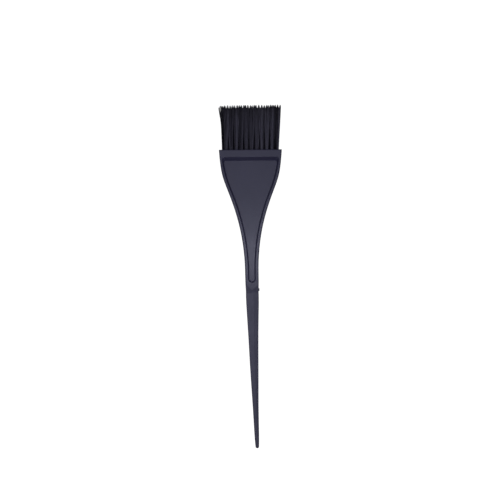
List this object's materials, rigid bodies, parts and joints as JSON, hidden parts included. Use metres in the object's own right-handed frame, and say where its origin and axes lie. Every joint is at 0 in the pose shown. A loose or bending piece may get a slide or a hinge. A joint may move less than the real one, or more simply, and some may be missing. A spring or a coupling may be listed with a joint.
{
  "type": "tint brush",
  "caption": "Hair tint brush with a wide flat head of staple-set nylon tufts, a panelled handle and a slim tapering pin tail for parting hair.",
  "frame": {"origin": "centre of the collar's flat back face, which the brush rests on", "axes": "-Y along the brush to the bristle tips, +Y to the tail tip, +Z out of the front face, X across the head"},
  "size_m": [0.0386, 0.2099, 0.008],
  "materials": {
    "moulded_plastic": "satin",
    "nylon_filament": "semi-gloss",
    "anchor_wire": "drawn"
  },
  "bodies": {
    "handle": {"handle": "moulded_plastic", "anchors_back": "anchor_wire", "anchors_middle": "anchor_wire", "anchors_front": "anchor_wire"},
    "bristles": {"tuft_back_01": "nylon_filament", "tuft_back_02": "nylon_filament", "tuft_back_03": "nylon_filament", "tuft_back_04": "nylon_filament", "tuft_back_05": "nylon_filament", "tuft_back_06": "nylon_filament", "tuft_back_07": "nylon_filament", "tuft_back_08": "nylon_filament", "tuft_back_09": "nylon_filament", "tuft_back_10": "nylon_filament", "tuft_back_11": "nylon_filament", "tuft_middle_01": "nylon_filament", "tuft_middle_02": "nylon_filament", "tuft_middle_03": "nylon_filament", "tuft_middle_04": "nylon_filament", "tuft_middle_05": "nylon_filament", "tuft_middle_06": "nylon_filament", "tuft_middle_07": "nylon_filament", "tuft_middle_08": "nylon_filament", "tuft_middle_09": "nylon_filament", "tuft_middle_10": "nylon_filament", "tuft_middle_11": "nylon_filament", "tuft_front_01": "nylon_filament", "tuft_front_02": "nylon_filament", "tuft_front_03": "nylon_filament", "tuft_front_04": "nylon_filament", "tuft_front_05": "nylon_filament", "tuft_front_06": "nylon_filament", "tuft_front_07": "nylon_filament", "tuft_front_08": "nylon_filament", "tuft_front_09": "nylon_filament", "tuft_front_10": "nylon_filament", "tuft_front_11": "nylon_filament"}
  },
  "joints": [
    {"name": "bristle_flex", "type": "hinge", "parent": "handle", "child": "bristles", "pos_m": [0, -0.00225, 0.004], "axis": [1, 0, 0], "range_deg": [-30, 30], "stiffness_Nm_per_rad": 0.04, "deforming": ["tuft_back_01", "tuft_back_02", "tuft_back_03", "tuft_back_04", "tuft_back_05", "tuft_back_06", "tuft_back_07", "tuft_back_08", "tuft_back_09", "tuft_back_10", "tuft_back_11", "tuft_middle_01", "tuft_middle_02", "tuft_middle_03", "tuft_middle_04", "tuft_middle_05", "tuft_middle_06", "tuft_middle_07", "tuft_middle_08", "tuft_middle_09", "tuft_middle_10", "tuft_middle_11", "tuft_front_01", "tuft_front_02", "tuft_front_03", "tuft_front_04", "tuft_front_05", "tuft_front_06", "tuft_front_07", "tuft_front_08", "tuft_front_09", "tuft_front_10", "tuft_front_11"]}
  ]
}
